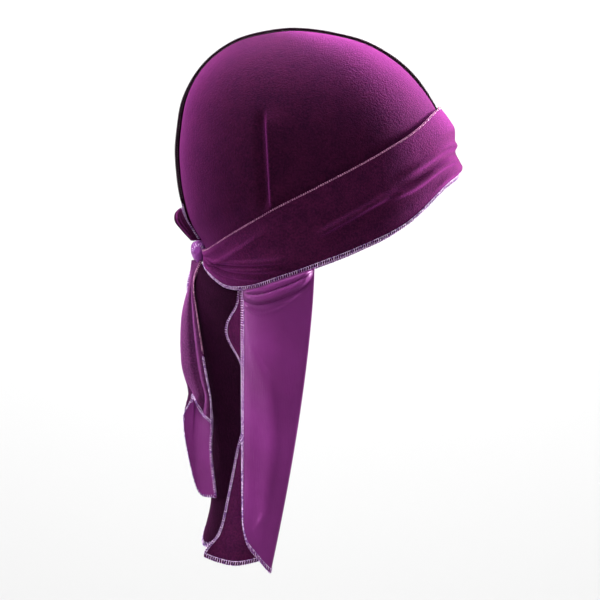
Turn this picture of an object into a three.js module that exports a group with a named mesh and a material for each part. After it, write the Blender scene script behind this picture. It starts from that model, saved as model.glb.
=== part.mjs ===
// A velvet durag, tied as it is worn: a two-panel crown with a raised centre seam, two ties wrapped
// round the head one over the other, a knot with one bow loop at the nape, the two tie ends, and
// the cape that hangs below the nape with its right side turned out.
// Millimetres, +Z up, +X to the brow, -Y the wearer's right. The origin is the inside of the crown
// at its top, on the centre seam, where the crown rests on the head.
import * as THREE from "three";
import { mergeVertices } from "three/addons/utils/BufferGeometryUtils.js";

// The room inside, which is the head's own size
const HEAD_LENGTH = 198;
const HEAD_WIDTH = 150;
const CROWN_HEIGHT = 91;
const NECK_DEPTH = 150;
const FRONT_SHARE = 0.556;
const SQUARENESS = 2.3;

// The cloth, and the gap between pieces that touch
const CLOTH = 1.2;
const SEAT = 0.5;
const LAYER = CLOTH + SEAT;

// The ties as they lie round the head
const BROW_DROP = 78.5;
const KNOT_DROP = 157.5;
const BAND_WIDTH = 56;
const UNDER_WIDTH = 28;
const UNDER_SET_BACK = 14;
const BAND_FLARE = 1.9;
const BROW_PUFF = 2.8;
const GATHER_PUFF = 0.9;
const HEM_SHARE = 0.3;

// The centre seam and the side pleat
const SEAM_HEIGHT = 2.4;
const SEAM_THICKNESS = 1.8;
const PLEAT_HEIGHT = 2.6;
const PLEAT_PLACE = -23;
const PLEAT_TOP = 58;
const PLEAT_GROWTH = 23;
const PLEAT_BACK = 6;
const PLEAT_FRONT = 20;
const PLEAT_END = 9;

// The knot, its loop and what hangs from it
const KNOT_DEPTH = 11;
const KNOT_WIDTH = 22;
const KNOT_HEIGHT = 14;
const LOOP_LENGTH = 23;
const LOOP_WIDTH = 13;
const LOOP_SPREAD = 8;
const CAPE_LENGTH = 215;
const TUCK = 8;
const FRONT_END_LENGTH = 198;
const BACK_END_LENGTH = 169;

// How far the head's profile stands out from four quarter ellipses, by the angle in degrees from
// the brow over the top (90) to the back (180) and on under the nape
const PROFILE = [
  { turn: -180, reach: 0.97 },
  { turn: -165, reach: 0.955 },
  { turn: -150, reach: 0.925 },
  { turn: -137, reach: 0.87 },
  { turn: -120, reach: 0.875 },
  { turn: -90, reach: 1 },
  { turn: -45, reach: 1 },
  { turn: -15, reach: 0.985 },
  { turn: 0, reach: 0.97 },
  { turn: 15, reach: 0.96 },
  { turn: 30, reach: 0.96 },
  { turn: 45, reach: 0.978 },
  { turn: 60, reach: 0.992 },
  { turn: 75, reach: 0.99 },
  { turn: 90, reach: 1 },
  { turn: 105, reach: 1.015 },
  { turn: 120, reach: 1.05 },
  { turn: 135, reach: 1.06 },
  { turn: 150, reach: 1.035 },
  { turn: 165, reach: 0.988 },
  { turn: 180, reach: 0.97 },
];

// The band by the angle round the head from the brow: how much of the way it has fallen from the
// brow to the knot, and its height as a share of BAND_WIDTH
const BAND = [
  { round: 0, fall: 0, spread: 0.84 },
  { round: 20, fall: 0.103, spread: 0.91 },
  { round: 40, fall: 0.394, spread: 1.07 },
  { round: 60, fall: 0.594, spread: 0.99 },
  { round: 80, fall: 0.772, spread: 0.955 },
  { round: 100, fall: 0.912, spread: 0.88 },
  { round: 120, fall: 1.038, spread: 0.755 },
  { round: 140, fall: 1.1, spread: 0.56 },
  { round: 156, fall: 1.08, spread: 0.34 },
  { round: 171, fall: 1.01, spread: 0.17 },
];

const degrees = (angle) => (angle * Math.PI) / 180;
const mix = (a, b, t) => a + (b - a) * t;
const smooth = (a, b, x) => THREE.MathUtils.smoothstep(x, a, b);

// A column of a table at any place between its rows, on one smooth curve
function along(table, key, column, place) {
  const last = table.length - 1;
  const at = Math.min(Math.max(place, table[0][key]), table[last][key]);
  let i = 0;
  while (i < last - 1 && table[i + 1][key] < at) i += 1;
  const slope = (k) => {
    const a = table[Math.max(k - 1, 0)];
    const b = table[Math.min(k + 1, last)];
    return (b[column] - a[column]) / (b[key] - a[key]);
  };
  const span = table[i + 1][key] - table[i][key];
  const t = (at - table[i][key]) / span;
  const rise = t * t * (3 - 2 * t);
  return (
    mix(table[i][column], table[i + 1][column], rise) +
    span * slope(i) * t * (1 - t) * (1 - t) -
    span * slope(i + 1) * t * t * (1 - t)
  );
}

// The head form. Its centre is on the seam plane at its widest level, CROWN_HEIGHT below the top.
function profileReach(turn) {
  const forward = Math.cos(turn);
  const up = Math.sin(turn);
  const length = HEAD_LENGTH * (forward > 0 ? FRONT_SHARE : 1 - FRONT_SHARE);
  const height = up > 0 ? CROWN_HEIGHT : NECK_DEPTH;
  const bulge = along(PROFILE, "turn", "reach", (turn * 180) / Math.PI);
  return bulge / Math.hypot(forward / length, up / height);
}

function fullness(x, y, z) {
  const up = z + CROWN_HEIGHT;
  const reach = Math.hypot(x, up) / profileReach(Math.atan2(up, x));
  const side = Math.abs(y) / (HEAD_WIDTH / 2);
  return reach ** SQUARENESS + side ** SQUARENESS;
}

// Moves a point of the head form out along the form's own normal
function lifted(x, y, z, lift) {
  const d = 0.05;
  const normal = new THREE.Vector3(
    fullness(x + d, y, z) - fullness(x - d, y, z),
    fullness(x, y + d, z) - fullness(x, y - d, z),
    fullness(x, y, z + d) - fullness(x, y, z - d),
  ).normalize();
  return new THREE.Vector3(x, y, z).addScaledVector(normal, lift);
}

// The point of the form at an angle round the head and a depth below its top. Angles below 0 are
// the wearer's right.
function onHead(round, depth, lift) {
  const forward = Math.cos(degrees(round));
  const left = Math.sin(degrees(round));
  let near = 0;
  let far = HEAD_LENGTH;
  for (let i = 0; i < 40; i += 1) {
    const middle = (near + far) / 2;
    if (fullness(middle * forward, middle * left, -depth) < 1) near = middle;
    else far = middle;
  }
  return lifted(near * forward, near * left, -depth, lift);
}

// The point of the form where a ray from its centre leaves it, by the ray's angle from straight up
function underRay(round, tilt, lift) {
  const forward = Math.sin(tilt) * Math.cos(degrees(round));
  const left = Math.sin(tilt) * Math.sin(degrees(round));
  const up = Math.cos(tilt);
  const flat = Math.hypot(forward, up) / profileReach(Math.atan2(up, forward));
  const side = Math.abs(left) / (HEAD_WIDTH / 2);
  const reach = (flat ** SQUARENESS + side ** SQUARENESS) ** (-1 / SQUARENESS);
  return lifted(reach * forward, reach * left, reach * up - CROWN_HEIGHT, lift);
}

const bandMiddle = (round) =>
  mix(BROW_DROP, KNOT_DROP, along(BAND, "round", "fall", Math.abs(round)));
const bandSpread = (round) => along(BAND, "round", "spread", Math.abs(round));
const bandBottom = (round) => bandMiddle(round) + (BAND_WIDTH * bandSpread(round)) / 2;
const bandTop = (round) => bandMiddle(round) - (BAND_WIDTH * bandSpread(round)) / 2;
const crownHem = (round) => bandBottom(round) - HEM_SHARE * BAND_WIDTH * bandSpread(round);

// A wall of cloth round a grid of points on its middle surface. The rows run across the cloth and
// the outside is on the side that along x across points to.
function clothWall(grid, thickness = CLOTH) {
  const rows = grid.length;
  const columns = grid[0].length;
  const normalAt = (i, j) => {
    const across = new THREE.Vector3().subVectors(
      grid[i][Math.min(j + 1, columns - 1)],
      grid[i][Math.max(j - 1, 0)],
    );
    const down = new THREE.Vector3().subVectors(
      grid[Math.min(i + 1, rows - 1)][j],
      grid[Math.max(i - 1, 0)][j],
    );
    return across.cross(down).normalize();
  };
  const layers = [1, -1].map((side) =>
    grid.map((row, i) =>
      row.map((p, j) => p.clone().addScaledVector(normalAt(i, j), (side * thickness) / 2)),
    ),
  );
  const triangles = [];
  const quad = (a, b, c, d) => {
    const short = a.distanceTo(c) <= b.distanceTo(d);
    triangles.push(short ? [a, b, c] : [b, c, d], short ? [a, c, d] : [b, d, a]);
  };
  const [front, back] = layers;
  for (let i = 0; i < rows - 1; i += 1) {
    for (let j = 0; j < columns - 1; j += 1) {
      quad(front[i][j], front[i][j + 1], front[i + 1][j + 1], front[i + 1][j]);
      quad(back[i][j], back[i + 1][j], back[i + 1][j + 1], back[i][j + 1]);
    }
  }
  const end = columns - 1;
  for (let i = 0; i < rows - 1; i += 1) {
    quad(front[i][0], front[i + 1][0], back[i + 1][0], back[i][0]);
    quad(front[i + 1][end], front[i][end], back[i][end], back[i + 1][end]);
  }
  const foot = rows - 1;
  for (let j = 0; j < columns - 1; j += 1) {
    quad(front[0][j + 1], front[0][j], back[0][j], back[0][j + 1]);
    quad(front[foot][j], front[foot][j + 1], back[foot][j + 1], back[foot][j]);
  }
  return closedShell(triangles);
}

// One closed geometry from triangles whose corners meet. It drops those that have no area and
// turns the faces outwards.
function closedShell(triangles) {
  const flat = triangles.flatMap((t) => t.flatMap((p) => [p.x, p.y, p.z]));
  const loose = new THREE.BufferGeometry();
  loose.setAttribute("position", new THREE.BufferAttribute(new Float32Array(flat), 3));
  const merged = mergeVertices(loose, 1e-3);
  const kept = [];
  const index = merged.index.array;
  for (let i = 0; i < index.length; i += 3) {
    const [a, b, c] = index.slice(i, i + 3);
    if (a !== b && b !== c && c !== a) kept.push([a, b, c]);
  }
  const p = merged.getAttribute("position");
  const corner = (i) => new THREE.Vector3().fromBufferAttribute(p, i);
  const volume = kept.reduce((sum, [a, b, c]) => {
    return sum + corner(a).dot(corner(b).cross(corner(c)));
  }, 0);
  const turned = volume < 0 ? kept.map(([a, b, c]) => [a, c, b]) : kept;
  merged.setIndex(turned.flat());
  merged.computeVertexNormals();
  return merged;
}

// Evenly spaced numbers from a to b, both ends among them
const steps = (a, b, count) =>
  Array.from({ length: count + 1 }, (_, i) => mix(a, b, i / count));

// The crown: two panels cut from one pattern, sewn together along the top of the head. Each
// follows the form from the seam's top down to its hem under the band, with one pleat at the side.
const CROWN_STEP = 6;
const CROWN_ROWS = 11;

// The pleat is a ridge that is steep behind and shallow in front. It grows from nothing at its
// top to its full height, and is pressed flat again where the band's edge crosses it.
function pleatLift(point) {
  const reach = PLEAT_HEIGHT * smooth(PLEAT_TOP, PLEAT_TOP + PLEAT_GROWTH, -point.z);
  const off = point.x - PLEAT_PLACE;
  const fade = off < 0 ? smooth(-PLEAT_BACK, 0, off) : 1 - smooth(0, PLEAT_FRONT, off);
  return reach * fade * (1 - smooth(bandTopAt(point) - PLEAT_END, bandTopAt(point), -point.z));
}

function bandTopAt(point) {
  return bandTop((Math.atan2(point.y, point.x) * 180) / Math.PI);
}

// The tilt of the ray that meets the form at a wanted depth
function tiltAt(round, depth) {
  let high = 0;
  let low = Math.PI;
  for (let i = 0; i < 40; i += 1) {
    const middle = (high + low) / 2;
    if (-underRay(round, middle, 0).z < depth) high = middle;
    else low = middle;
  }
  return high;
}

// The columns that follow the pleat, by their angle from its ridge
const PLEAT_COLUMNS = [-8.5, -6.5, -2.5, -0.5, 3.5, 5];

function crownPanel(side) {
  const ridge = 90 - (Math.atan2(PLEAT_PLACE, HEAD_WIDTH / 2) * 180) / Math.PI;
  const pleat = PLEAT_COLUMNS.map((off) => ridge + off);
  const rounds = [...steps(0, 180, 180 / CROWN_STEP), ...pleat].sort((a, b) => a - b);
  const grid = steps(0, 1, CROWN_ROWS).map((share) =>
    rounds.map((round) => {
      const tilt = share * tiltAt(round, crownHem(round));
      const skin = underRay(round, tilt, 0);
      const point = underRay(round, tilt, CLOTH / 2 + pleatLift(skin));
      return new THREE.Vector3(point.x, side * (point.y + SEAT / 2), point.z);
    }),
  );
  return clothWall(grid);
}

// The centre seam: both panels' edges overlocked together on the outside, so they stand up as a
// thin ridge from the band at the brow to the knot. It stands highest above the nape.
const SEAM_STEPS = 34;
const SEAM_RISE = [
  { turn: 0, tall: 0.9 },
  { turn: 60, tall: 0.8 },
  { turn: 105, tall: 0.85 },
  { turn: 135, tall: 0.7 },
  { turn: 160, tall: 1.1 },
  { turn: 205, tall: 0.9 },
];

function seamRidge() {
  const start = tiltAt(0, bandTop(0) - SEAT);
  const finish = -tiltAt(180, KNOT_DROP - KNOT_HEIGHT / 2 - 2 * SEAM_HEIGHT);
  const foot = CLOTH + 1.5 * SEAT;
  const grid = steps(start, finish, SEAM_STEPS).map((tilt) => {
    const turn = 90 - (tilt * 180) / Math.PI;
    const tall = SEAM_HEIGHT * along(SEAM_RISE, "turn", "tall", turn);
    const round = tilt < 0 ? 180 : 0;
    return [foot, foot + tall / 2, foot + tall].map((lift) =>
      underRay(round, Math.abs(tilt), lift).setY(0),
    );
  });
  return clothWall(grid, SEAM_THICKNESS);
}

// The ties round the head. Each is one long strap that runs from the knot round the head and back
// to the knot. Their ends are gathered small, and the outer one is puffed and creased at the brow.
const ROUND_STEP = 6;
const OUTER_LAST = 171;
const INNER_LAST = 162;
const GATHER_FROM = 132;
const OUTER_ROWS = 8;
const INNER_ROWS = 4;

const roundsTo = (last) => [
  -last,
  ...steps(-INNER_LAST, INNER_LAST, (2 * INNER_LAST) / ROUND_STEP).filter((r) => Math.abs(r) < last),
  last,
];

function knotPlace() {
  const nape = onHead(180, KNOT_DROP, 0);
  return new THREE.Vector3(nape.x - 2 * LAYER - KNOT_DEPTH / 2, 0, -KNOT_DROP);
}

// How far the outer tie's middle surface stands off the head. across runs from its top edge (0)
// to its bottom edge (1).
function outerLift(round, across) {
  const flare = BAND_FLARE * smooth(0.5, 0.85, across);
  const brow = 1 - smooth(6, 34, Math.abs(round));
  const puff = BROW_PUFF * brow * Math.sin(Math.PI * Math.min(across / 0.6, 1));
  const corner = Math.exp(-(((across - 0.84) / 0.1) ** 2) - ((round - 7) / 9) ** 2);
  const gather = smooth(GATHER_FROM, OUTER_LAST, Math.abs(round));
  const pleats = GATHER_PUFF * gather * (1 + Math.sin(3 * Math.PI * across));
  return 2 * LAYER + CLOTH / 2 + flare + puff + 1.5 * BROW_PUFF * corner + pleats;
}

// Near the knot the strap leaves the head for the knot's side face
function toKnot(point, round) {
  const share = smooth(150, OUTER_LAST, Math.abs(round));
  const knot = knotPlace();
  const seat = new THREE.Vector3(
    knot.x + 0.05 * KNOT_DEPTH,
    Math.sign(round) * (KNOT_WIDTH / 2 + 2 * SEAT),
    knot.z + 0.8 * (point.z - knot.z),
  );
  return point.clone().lerp(seat, share * share);
}

function outerWrap() {
  const grid = steps(0, 1, OUTER_ROWS).map((across) =>
    roundsTo(OUTER_LAST).map((round) => {
      const depth = mix(bandTop(round), bandBottom(round), across);
      return toKnot(onHead(round, depth, outerLift(round, across)), round);
    }),
  );
  return clothWall(grid);
}

// The inner tie lies between the crown and the outer one, a little below its top edge
function innerWrap() {
  const grid = steps(0, 1, INNER_ROWS).map((across) =>
    roundsTo(INNER_LAST).map((round) => {
      const depth = bandTop(round) + (UNDER_SET_BACK + UNDER_WIDTH * across) * bandSpread(round);
      return onHead(round, depth, LAYER + CLOTH / 2);
    }),
  );
  return clothWall(grid);
}

// The knot: the ties crossed and drawn into one hard barrel across the nape
const KNOT_ROWS = 10;
const KNOT_SIDES = 14;

function knotBarrel() {
  const centre = knotPlace();
  const ring = (share) => {
    const swell = Math.sqrt(1 - 0.5 * share * share);
    return steps(0, 2 * Math.PI, KNOT_SIDES)
      .slice(0, -1)
      .map((a) => {
        const crease = 1 - 0.07 * Math.cos(3 * a + 2 * share);
        return new THREE.Vector3(
          centre.x + (KNOT_DEPTH / 2) * swell * crease * Math.cos(a),
          (share * KNOT_WIDTH) / 2,
          centre.z + (KNOT_HEIGHT / 2) * swell * crease * Math.sin(a),
        );
      });
  };
  const rings = steps(-1, 1, KNOT_ROWS).map(ring);
  const triangles = [];
  rings.slice(1).forEach((next, i) => {
    rings[i].forEach((p, j) => {
      const k = (j + 1) % KNOT_SIDES;
      triangles.push([p, next[j], next[k]], [p, next[k], rings[i][k]]);
    });
  });
  [rings[0], rings[KNOT_ROWS]].forEach((cap, i) => {
    const middle = centre.clone().setY(cap[0].y);
    cap.forEach((p, j) => {
      const q = cap[(j + 1) % KNOT_SIDES];
      triangles.push(i === 0 ? [middle, p, q] : [middle, q, p]);
    });
  });
  return closedShell(triangles);
}

// The bow loop: a bight of the tie that stands up from the knot along the crown, its two layers a
// little apart. Each row is how high it is, where its rear and fore sides are as shares of
// LOOP_WIDTH from the knot's middle, and how far apart its layers are as a share of LOOP_SPREAD.
const LOOP = [
  { up: 0, rear: -0.3, fore: 0.05, apart: 0.3 },
  { up: 0.3, rear: -0.86, fore: -0.17, apart: 0.8 },
  { up: 0.58, rear: -1.25, fore: -0.48, apart: 1 },
  { up: 0.8, rear: -1.2, fore: -0.69, apart: 0.85 },
  { up: 0.94, rear: -0.98, fore: -0.77, apart: 0.5 },
  { up: 1, rear: -0.84, fore: -0.79, apart: 0 },
];
const LOOP_STEPS = 13;
const LOOP_ACROSS = 4;

function bowLoop() {
  const knot = knotPlace();
  const foot = knot.z + KNOT_HEIGHT / 2 + LAYER;
  const grid = steps(-1, 1, 2 * LOOP_STEPS).map((share) => {
    const up = Math.sin(((1 - Math.abs(share)) * Math.PI) / 2);
    const at = (column) => along(LOOP, "up", column, up);
    return steps(0, 1, LOOP_ACROSS).map((across) => {
      const belly = 1 + 0.3 * Math.sin(Math.PI * across);
      return new THREE.Vector3(
        knot.x + LOOP_WIDTH * mix(at("rear"), at("fore"), across),
        (Math.sign(share) * LOOP_SPREAD * at("apart") * belly) / 2,
        foot + LOOP_LENGTH * up,
      );
    });
  });
  return clothWall(grid);
}

// Cloth tucked up under the band that hangs below it. The columns run round the head, and each has
// its own angle round it, the depth of its top edge, its lift off the head and its way down from
// the band's bottom edge (0) to its own end (1).
const TUCK_ROWS = 3;

function tuckedCloth(columns, rows) {
  return clothWall(
    steps(-TUCK_ROWS, rows, TUCK_ROWS + rows).map((row) =>
      columns.map(({ round, top, lift, way }) => {
        const foot = bandBottom(round);
        if (row <= 0) return onHead(round, mix(foot, top, -row / TUCK_ROWS), lift);
        return onHead(round, foot, lift).add(way(row / rows));
      }),
    ),
  );
}

// The cape: the crown's own cloth goes on below the nape from the left side round to the right ear,
// where it is folded outwards and back over itself. Each row is one line down the cloth, from the
// turned-out edge to the free edge on the left: its angle round the head, whether it is turned out,
// where it ends as shares of the head's length, its width and CAPE_LENGTH, and its share of WAVE.
const CAPE = [
  { line: 0, round: -129, out: 1, endX: -0.204, endY: -0.333, drop: 0.765, wave: 0 },
  { line: 1, round: -119, out: 1, endX: -0.187, endY: -0.34, drop: 0.841, wave: 0 },
  { line: 2, round: -107, out: 1, endX: -0.153, endY: -0.34, drop: 0.904, wave: 0 },
  { line: 3, round: -94, out: 1, endX: -0.128, endY: -0.333, drop: 0.972, wave: 0 },
  { line: 4, round: -82, out: 0.5, endX: -0.107, endY: -0.295, drop: 1, wave: 0 },
  { line: 5, round: -90, out: 0, endX: -0.122, endY: -0.25, drop: 0.97, wave: 0 },
  { line: 6, round: -105, out: 0, endX: -0.19, endY: -0.21, drop: 0.89, wave: 0 },
  { line: 7, round: -128, out: 0, endX: -0.29, endY: -0.165, drop: 0.85, wave: 0.4 },
  { line: 8, round: -152, out: 0, endX: -0.349, endY: -0.09, drop: 0.885, wave: 1 },
  { line: 9, round: -180, out: 0, endX: -0.33, endY: 0.02, drop: 0.9, wave: 1 },
  { line: 10, round: -208, out: 0, endX: -0.265, endY: 0.13, drop: 0.87, wave: 0.5 },
  { line: 11, round: -232, out: 0, endX: -0.2, endY: 0.2, drop: 0.83, wave: 0 },
  { line: 12, round: -246, out: 0, endX: -0.15, endY: 0.2, drop: 0.78, wave: 0 },
];

// How far the back of the cape swings forward of a straight way down, as a share of the head's
// length: it stands off the nape first, then dips in and kicks out at its hem
const WAVE = [
  { down: 0, forward: 0 },
  { down: 0.09, forward: -0.024 },
  { down: 0.26, forward: -0.03 },
  { down: 0.48, forward: -0.01 },
  { down: 0.66, forward: 0.021 },
  { down: 0.8, forward: 0.048 },
  { down: 0.89, forward: 0.03 },
  { down: 1, forward: 0 },
];
const CAPE_ACROSS = 2;
const CAPE_ROWS = 16;
const LAPEL_LIFT = 2 * LAYER + CLOTH / 2;

function capeCloth() {
  const columns = steps(0, CAPE.length - 1, CAPE_ACROSS * (CAPE.length - 1)).map((line) => {
    const row = (column) => along(CAPE, "line", column, line);
    const turned = row("round");
    const round = turned < -180 ? turned + 360 : turned;
    const lift = mix(CLOTH / 2, LAPEL_LIFT, row("out"));
    const foot = onHead(round, bandBottom(round), lift);
    const end = new THREE.Vector3(
      HEAD_LENGTH * row("endX") - foot.x,
      HEAD_WIDTH * row("endY") - foot.y,
      -CAPE_LENGTH * row("drop"),
    );
    return {
      round,
      lift,
      top: mix(crownHem(round) + SEAT, bandBottom(round) - TUCK, smooth(0, 0.3, row("out"))),
      way: (down) => {
        const wave = HEAD_LENGTH * row("wave") * along(WAVE, "down", "forward", down);
        const inward = end.y * down ** mix(0.7, 1.5, row("out"));
        return new THREE.Vector3(end.x * down ** 1.5 + wave, inward, end.z * down);
      },
    };
  });
  return tuckedCloth(columns, CAPE_ROWS);
}

// The tie end that hangs in front: it comes from under the band between the cape and its lapel.
// Each row is how far down it is, and how far its rear and fore edges have moved by then, as shares
// of the head's length and width.
const FRONT_END = [
  { down: 0, rearX: 0, rearY: 0, foreX: 0, foreY: 0 },
  { down: 0.065, rearX: 0.014, rearY: -0.01, foreX: 0, foreY: 0.02 },
  { down: 0.13, rearX: -0.024, rearY: 0.012, foreX: 0, foreY: 0.037 },
  { down: 0.18, rearX: -0.026, rearY: 0.014, foreX: 0, foreY: 0.045 },
  { down: 0.28, rearX: 0.02, rearY: 0, foreX: 0, foreY: 0.06 },
  { down: 0.42, rearX: 0.046, rearY: 0.005, foreX: 0, foreY: 0.08 },
  { down: 0.57, rearX: 0.017, rearY: 0.04, foreX: -0.005, foreY: 0.107 },
  { down: 0.77, rearX: -0.02, rearY: 0.08, foreX: -0.02, foreY: 0.14 },
  { down: 0.91, rearX: -0.06, rearY: 0.1, foreX: -0.035, foreY: 0.16 },
  { down: 0.975, rearX: -0.122, rearY: 0.115, foreX: -0.045, foreY: 0.175 },
  { down: 1, rearX: -0.127, rearY: 0.12, foreX: -0.05, foreY: 0.18 },
];
const FRONT_END_TO = [
  { across: 0, round: -133, drop: 0.965 },
  { across: 0.25, round: -127, drop: 0.98 },
  { across: 0.6, round: -116, drop: 1 },
  { across: 1, round: -104, drop: 1 },
];
const FRONT_END_ACROSS = 8;
const FRONT_END_ROWS = 20;

function frontEnd() {
  const columns = steps(0, 1, FRONT_END_ACROSS).map((across) => {
    const round = along(FRONT_END_TO, "across", "round", across);
    const length = FRONT_END_LENGTH * along(FRONT_END_TO, "across", "drop", across);
    const at = (column, down) =>
      mix(
        along(FRONT_END, "down", `rear${column}`, down),
        along(FRONT_END, "down", `fore${column}`, down),
        across,
      );
    return {
      round,
      lift: LAYER + CLOTH / 2,
      top: bandBottom(round) - TUCK,
      way: (down) =>
        new THREE.Vector3(HEAD_LENGTH * at("X", down), HEAD_WIDTH * at("Y", down), -length * down),
    };
  });
  return tuckedCloth(columns, FRONT_END_ROWS);
}

// The tie end that hangs behind: folded along its length on the rear side with the velvet outside.
// Its near layer is cut off slanting, and below it the far layer shows its inner face. Each row is
// how far down it is, and where its lines are from the knot, as shares of the head's length and
// width.
const BACK_END = [
  { down: 0, nearX: 0.006, nearY: -0.05, foldX: -0.016, foldY: -0.02, farX: 0.016, farY: 0.04 },
  { down: 0.1, nearX: -0.012, nearY: -0.115, foldX: -0.024, foldY: -0.09, farX: 0.014, farY: -0.08 },
  { down: 0.24, nearX: 0.001, nearY: -0.18, foldX: -0.052, foldY: -0.13, farX: 0.03, farY: -0.15 },
  { down: 0.42, nearX: 0.018, nearY: -0.225, foldX: -0.0485, foldY: -0.16, farX: 0.045, farY: -0.195 },
  { down: 0.57, nearX: 0.047, nearY: -0.24, foldX: -0.029, foldY: -0.18, farX: 0.058, farY: -0.215 },
  { down: 0.66, nearX: 0.06, nearY: -0.24, foldX: -0.044, foldY: -0.165, farX: 0.064, farY: -0.215 },
  { down: 0.8, nearX: 0.06, nearY: -0.23, foldX: -0.046, foldY: -0.155, farX: 0.058, farY: -0.2 },
  { down: 0.9, nearX: 0.06, nearY: -0.23, foldX: -0.04, foldY: -0.15, farX: 0.066, farY: -0.19 },
  { down: 1, nearX: 0.06, nearY: -0.23, foldX: -0.04, foldY: -0.15, farX: 0.076, farY: -0.18 },
];

// The lines of that tie end from its near edge round the fold to its far edge: how near each is to
// the fold, which layer it is in, how far it bellies away from the other layer as a share of the
// head's width, and where it ends
const BACK_END_LINES = [
  { line: 0, layer: "near", fromFold: 1, belly: 0, end: 0.69 },
  { line: 1, layer: "near", fromFold: 0.5, belly: -0.016, end: 0.63 },
  { line: 2, layer: "near", fromFold: 0.1, belly: -0.006, end: 0.575 },
  { line: 3, layer: "far", fromFold: 0, belly: 0.012, end: 0.79 },
  { line: 4, layer: "far", fromFold: 0.45, belly: 0.03, end: 0.965 },
  { line: 5, layer: "far", fromFold: 1, belly: 0, end: 1 },
];
const BACK_END_ACROSS = 3;
const BACK_END_ROWS = 20;

function backEnd() {
  const knot = knotPlace();
  const top = knot.z - KNOT_HEIGHT / 2 - SEAT;
  const lineAt = ({ layer, fromFold, belly, end }, share) => {
    const down = share * end;
    const at = (name) => along(BACK_END, "down", name, down);
    const full = smooth(0, 0.2, down);
    return {
      x: knot.x + HEAD_LENGTH * mix(at("foldX"), at(`${layer}X`), fromFold),
      y: HEAD_WIDTH * (mix(at("foldY"), at(`${layer}Y`), fromFold) + belly * full),
      z: top - BACK_END_LENGTH * down,
    };
  };
  const last = BACK_END_LINES.length - 1;
  const grid = steps(0, 1, BACK_END_ROWS).map((share) => {
    const section = BACK_END_LINES.map((row) => ({ line: row.line, ...lineAt(row, share) }));
    return steps(0, last, BACK_END_ACROSS * last).map(
      (line) =>
        new THREE.Vector3(
          along(section, "line", "x", line),
          along(section, "line", "y", line),
          along(section, "line", "z", line),
        ),
    );
  });
  return clothWall(grid);
}

const cloth = (colour, roughness) =>
  new THREE.MeshStandardMaterial({ color: colour, roughness, metalness: 0 });
const velvet = cloth(0x4a1740, 0.85);
const tricot = cloth(0x6e3368, 0.6);
const thread = cloth(0x24101f, 0.7);

const durag = new THREE.Group();
function add(name, geometry, material) {
  const mesh = new THREE.Mesh(geometry, material);
  mesh.name = name;
  durag.add(mesh);
}

add("crown_right", crownPanel(-1), velvet);
add("crown_left", crownPanel(1), velvet);
add("centre_seam", seamRidge(), thread);
add("tie_outer_wrap", outerWrap(), velvet);
add("tie_inner_wrap", innerWrap(), velvet);
add("knot", knotBarrel(), tricot);
add("bow_loop", bowLoop(), velvet);
add("tie_end_back", backEnd(), velvet);
add("tie_end_front", frontEnd(), velvet);
add("cape", capeCloth(), tricot);

export default durag;
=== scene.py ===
# A velvet durag in its worn form, tied at the nape, seen from its right side.
# The sizes of cloth are millimetres, as on the pattern, and each mesh is made in metres from them.
import math

import bmesh
import bpy
import numpy as np
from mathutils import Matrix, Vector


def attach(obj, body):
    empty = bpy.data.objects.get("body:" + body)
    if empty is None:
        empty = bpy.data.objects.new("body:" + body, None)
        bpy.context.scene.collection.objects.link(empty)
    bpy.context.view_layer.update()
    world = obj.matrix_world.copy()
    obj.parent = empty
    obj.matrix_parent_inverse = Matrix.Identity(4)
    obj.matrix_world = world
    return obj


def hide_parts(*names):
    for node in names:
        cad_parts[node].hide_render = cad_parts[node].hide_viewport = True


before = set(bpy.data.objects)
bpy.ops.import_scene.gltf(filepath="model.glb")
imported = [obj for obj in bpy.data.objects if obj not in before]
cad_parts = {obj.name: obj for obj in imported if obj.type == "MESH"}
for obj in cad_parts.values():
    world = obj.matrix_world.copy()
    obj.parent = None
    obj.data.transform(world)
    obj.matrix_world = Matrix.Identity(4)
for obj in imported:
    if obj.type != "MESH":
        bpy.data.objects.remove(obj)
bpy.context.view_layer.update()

# The studio: a round room of white paper, its floor well below the cloth and its wall well beyond
# the long, level lens. A broad soft light hangs overhead and a little behind, and smaller ones
# serve the front, the cape, the brow, the tie's tail and the paper. Its sizes are in metres.
CAMERA_AWAY = 2
CAMERA_LEVEL = -0.1918
VIEW_WIDTH = 0.432
ROOM_FLOOR = -1.3
ROOM_TOP = 1.3
ROOM_BEND = 0.5
ROOM_BEND_STEPS = 12
ROOM_RADIUS = 3.4
ROOM_SIDES = 96
PAPER_GREY = 0.3
PAPER_GLOW = 0.34
AIR_GLOW = 0.04

camera_data = bpy.data.cameras.new("camera")
camera_data.lens = camera_data.sensor_width * CAMERA_AWAY / VIEW_WIDTH
camera_data.clip_end = 30
camera = bpy.data.objects.new("camera", camera_data)
camera.location = (0, -CAMERA_AWAY, CAMERA_LEVEL)
camera.rotation_euler = (math.radians(90), 0, 0)
bpy.context.collection.objects.link(camera)
bpy.context.scene.camera = camera

room_bend = [
    (ROOM_RADIUS - ROOM_BEND * (1 - math.sin(a)), ROOM_FLOOR + ROOM_BEND * (1 - math.cos(a)))
    for a in np.linspace(0, math.pi / 2, ROOM_BEND_STEPS + 1)
]
room_line = room_bend + [(ROOM_RADIUS, ROOM_TOP)]
room_turns = np.linspace(0, 2 * math.pi, ROOM_SIDES, endpoint=False)
room_points = [(r * math.cos(a), r * math.sin(a), z) for r, z in room_line for a in room_turns]
room_faces = [tuple(range(ROOM_SIDES))]
for ring in range(len(room_line) - 1):
    for i in range(ROOM_SIDES):
        here, there = ring * ROOM_SIDES + i, ring * ROOM_SIDES + (i + 1) % ROOM_SIDES
        room_faces.append((there, here, here + ROOM_SIDES, there + ROOM_SIDES))
room_mesh = bpy.data.meshes.new("paper_room")
room_mesh.from_pydata(room_points, [], room_faces)
room_mesh.shade_smooth()
room = bpy.data.objects.new("paper_room", room_mesh)
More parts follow.
